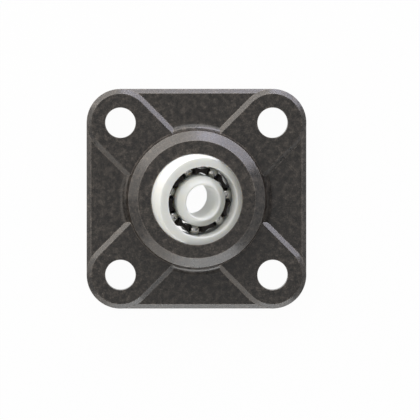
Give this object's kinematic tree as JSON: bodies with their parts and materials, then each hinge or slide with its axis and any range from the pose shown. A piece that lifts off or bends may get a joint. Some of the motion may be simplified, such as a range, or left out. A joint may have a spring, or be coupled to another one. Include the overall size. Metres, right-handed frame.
{
  "type": "four-bolt flange bearing",
  "caption": "Square plastic flange housing with diagonal arms and a spherical seat that holds a tilting plastic ball bearing for a shaft.",
  "frame": {"origin": "centre of the flat back mounting face", "axes": "+Z out of the front of the hub, X and Y along the sides of the square flange"},
  "size_m": [0.065, 0.065, 0.021],
  "materials": {
    "housing_plastic": "moulded glass-fibre filled nylon, dark grey, fine uneven satin",
    "ring_plastic": "turned and moulded white bearing polymer, satin",
    "cage_plastic": "moulded near-black plastic, satin",
    "ball_steel": "polished stainless steel"
  },
  "bodies": {
    "housing": {"flange_housing": "housing_plastic"},
    "outer_ring": {"outer_ring": "ring_plastic"},
    "inner_ring": {"inner_ring": "ring_plastic"},
    "cage": {"ball_cage": "cage_plastic"},
    "ball_1": {"ball_1": "ball_steel"},
    "ball_2": {"ball_2": "ball_steel"},
    "ball_3": {"ball_3": "ball_steel"},
    "ball_4": {"ball_4": "ball_steel"},
    "ball_5": {"ball_5": "ball_steel"},
    "ball_6": {"ball_6": "ball_steel"},
    "ball_7": {"ball_7": "ball_steel"}
  },
  "joints": [
    {"name": "insert_tilt", "type": "hinge", "parent": "housing", "child": "outer_ring", "pos_m": [0, 0, 0.011], "axis": [0.3827, 0.9239, 0], "range_deg": [-41, 3]},
    {"name": "inner_ring_spin", "type": "hinge", "parent": "outer_ring", "child": "inner_ring", "pos_m": [0, 0, 0.011], "axis": [0.3008, -0.1246, 0.9455], "continuous": true},
    {"name": "cage_orbit", "type": "hinge", "parent": "outer_ring", "child": "cage", "pos_m": [0, 0, 0.011], "axis": [0.3008, -0.1246, 0.9455], "continuous": true},
    {"name": "ball_1_roll", "type": "hinge", "parent": "cage", "child": "ball_1", "pos_m": [0.00616, -0.00596, 0.00826], "axis": [0.3008, -0.1246, 0.9455], "continuous": true},
    {"name": "ball_2_roll", "type": "hinge", "parent": "cage", "child": "ball_2", "pos_m": [0.00851, 0.00148, 0.00849], "axis": [0.3008, -0.1246, 0.9455], "continuous": true},
    {"name": "ball_3_roll", "type": "hinge", "parent": "cage", "child": "ball_3", "pos_m": [0.00446, 0.00781, 0.01061], "axis": [0.3008, -0.1246, 0.9455], "continuous": true},
    {"name": "ball_4_roll", "type": "hinge", "parent": "cage", "child": "ball_4", "pos_m": [-0.00295, 0.00826, 0.01303], "axis": [0.3008, -0.1246, 0.9455], "continuous": true},
    {"name": "ball_5_roll", "type": "hinge", "parent": "cage", "child": "ball_5", "pos_m": [-0.00814, 0.00249, 0.01392], "axis": [0.3008, -0.1246, 0.9455], "continuous": true},
    {"name": "ball_6_roll", "type": "hinge", "parent": "cage", "child": "ball_6", "pos_m": [-0.0072, -0.00515, 0.01261], "axis": [0.3008, -0.1246, 0.9455], "continuous": true},
    {"name": "ball_7_roll", "type": "hinge", "parent": "cage", "child": "ball_7", "pos_m": [-0.00084, -0.00891, 0.01009], "axis": [0.3008, -0.1246, 0.9455], "continuous": true}
  ],
  "couplings": [
    {"joint": "cage_orbit", "follows": "inner_ring_spin", "ratio": 0.38889},
    {"joint": "ball_1_roll", "follows": "inner_ring_spin", "ratio": -2.1389},
    {"joint": "ball_2_roll", "follows": "inner_ring_spin", "ratio": -2.1389},
    {"joint": "ball_3_roll", "follows": "inner_ring_spin", "ratio": -2.1389},
    {"joint": "ball_4_roll", "follows": "inner_ring_spin", "ratio": -2.1389},
    {"joint": "ball_5_roll", "follows": "inner_ring_spin", "ratio": -2.1389},
    {"joint": "ball_6_roll", "follows": "inner_ring_spin", "ratio": -2.1389},
    {"joint": "ball_7_roll", "follows": "inner_ring_spin", "ratio": -2.1389}
  ]
}
